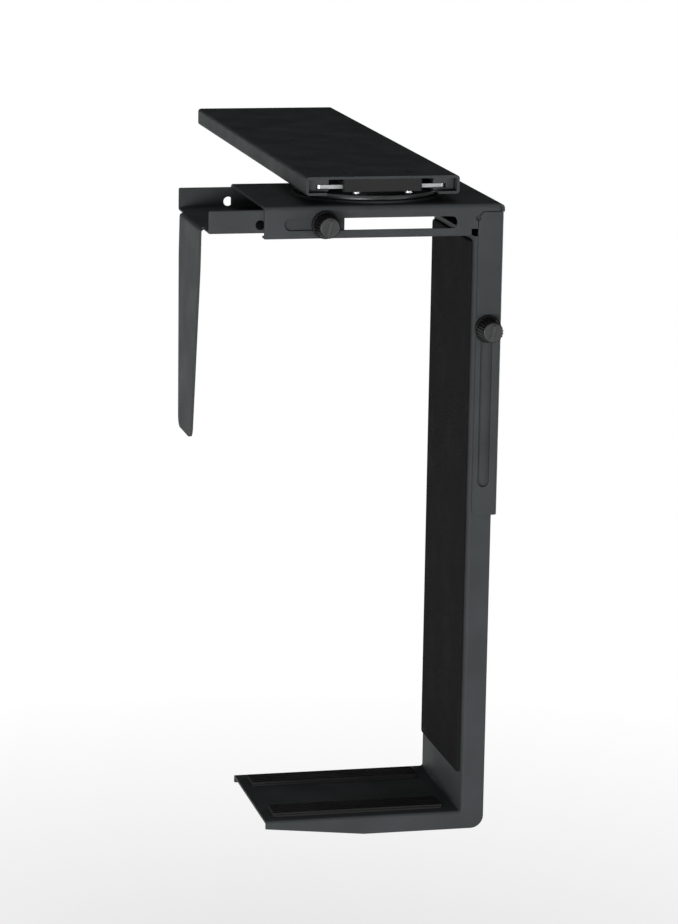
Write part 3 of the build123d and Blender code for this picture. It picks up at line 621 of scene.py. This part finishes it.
def foam_pad(thickness, width, height):
    """A die-cut pad around the origin, with its back at -X and its soft face at +X."""
    rim = thickness * rim_share
    shape = block((rim, width, height), ((rim - thickness) / 2, 0, 0))
    round_corners(shape, x_axis)
    front = max(shape.faces, key=lambda face: face.calc_center_median().x)
    for inset, rise in rim_steps:
        bmesh.ops.inset_region(shape, faces=[front], thickness=inset, use_even_offset=True)
        bmesh.ops.translate(shape, verts=front.verts, vec=(thickness * rise, 0, 0))
    return shape


print("the rim keeps", rim_share, "of a pad's thickness")

# %% [markdown]
# The pad on the column lies flat against it, with its soft face towards the tower. The function makes a
# pad that faces right, so this one is turned by half a turn.

# %% Foam on the column
low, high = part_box("column_pad")
size = high - low
pad = foam_pad(size.x, size.y, size.z)
bmesh.ops.rotate(pad, verts=pad.verts, matrix=Matrix.Rotation(pi, 3, "Z"))
bmesh.ops.translate(pad, verts=pad.verts, vec=(low + high) / 2)
new_piece("column_foam", pad, "bracket", "column_pad")

# %% [markdown]
# The wing leans out by one degree, and its pad leans with it. The pad's own thickness and length come
# from the box around it, by turning that box's width and height back by the same angle.

# %% Foam on the wing
wing_lean = radians(1.0)
low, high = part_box("wing_pad")
size = high - low
turn = cos(2 * wing_lean)
thickness = (size.x * cos(wing_lean) - size.z * sin(wing_lean)) / turn
length = (size.z * cos(wing_lean) - size.x * sin(wing_lean)) / turn
pad = foam_pad(thickness, size.y, length)
bmesh.ops.rotate(pad, verts=pad.verts, matrix=Matrix.Rotation(wing_lean, 3, "Y"))
bmesh.ops.translate(pad, verts=pad.verts, vec=(low + high) / 2)
new_piece("wing_foam", pad, "arm", "wing_pad")
print("wing pad", round(thickness, 4), "by", round(length, 4), "m")

# %% [markdown]
# The rubber strips keep the tower from sliding off the tray. Their ribs run from side to side, across
# the way that the tower is pushed in. The block is cut at each rib's edges, and the faces between the
# cuts are drawn upwards.

# %% One ribbed strip
strip_width = 0.025
base_share = 0.6
rib_count = 6
rib_width = 0.0024
rib_gap = 0.0016
rib_step = rib_width + rib_gap
rib_start = (strip_width - rib_count * rib_width - (rib_count - 1) * rib_gap) / 2
facing_up = 0.9


def is_rib_top(face, first_rib):
    """Whether a face looks up and lies on a rib."""
    across = face.calc_center_median().y - first_rib
    on_rib = 0 < across < rib_count * rib_step and across % rib_step < rib_width
    return face.normal.z > facing_up and on_rib


def ribbed_strip(low, high, front_edge):
    """A strip from low to high along X and Z, that starts at a place along Y."""
    base = (high.z - low.z) * base_share
    middle = Vector(((low.x + high.x) / 2, front_edge + strip_width / 2, low.z + base / 2))
    strip = block((high.x - low.x, strip_width, base), middle)
    round_corners(strip, z_axis)
    first_rib = front_edge + rib_start
    for rib in range(rib_count):
        rib_low = first_rib + rib * rib_step
        for cut in (rib_low, rib_low + rib_width):
            everything = strip.verts[:] + strip.edges[:] + strip.faces[:]
            bmesh.ops.bisect_plane(strip, geom=everything, plane_co=(0, cut, 0), plane_no=(0, 1, 0))
    for face in [face for face in strip.faces if is_rib_top(face, first_rib)]:
        raised = bmesh.ops.extrude_face_region(strip, geom=[face])["geom"]
        rib_verts = [part for part in raised if isinstance(part, bmesh.types.BMVert)]
        bmesh.ops.translate(strip, verts=rib_verts, vec=(0, 0, high.z - low.z - base))
        bmesh.ops.delete(strip, geom=[face], context="FACES_ONLY")
    return strip


print(rib_count, "ribs, one every", round(rib_step, 4), "m")

# %% [markdown]
# The tray has one strip along its front and one along its back. Both belong to one piece, so each is
# copied into a shared bmesh by way of a mesh that is thrown away again.

# %% Ribbed strips on the tray
low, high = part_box("tray_strips")
strips = bmesh.new()
for front_edge in (low.y, high.y - strip_width):
    strip = ribbed_strip(low, high, front_edge)
    strip_mesh = bpy.data.meshes.new("strip")
    strip.to_mesh(strip_mesh)
    strip.free()
    strips.from_mesh(strip_mesh)
    bpy.data.meshes.remove(strip_mesh)
tray_rubber = new_piece("tray_rubber", strips, "bracket", "tray_strips")

# %% [markdown]
# A mould can't leave a sharp edge on rubber. A small Bevel modifier rounds every rib at once, and leaves
# the shape below it simple.

# %% Rounded ribs
rib_rounding = 0.00025

rounding = tray_rubber.modifiers.new("rounded ribs", "BEVEL")
rounding.width = rib_rounding
rounding.segments = 2
rounding.limit_method = "ANGLE"
print("ribs rounded by", rib_rounding, "m")

# %% [markdown]
# ## Sizes
# The finished model has to fill the same box as the construction. Both boxes are measured, and the
# largest difference between them is printed.

# %% Compare the sizes
visual_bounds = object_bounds()
growth = max(abs(a - b) for k in (0, 1) for a, b in zip(visual_bounds[k], cad_bounds[k]))
print("largest difference between the boxes", round(growth, 5), "m")
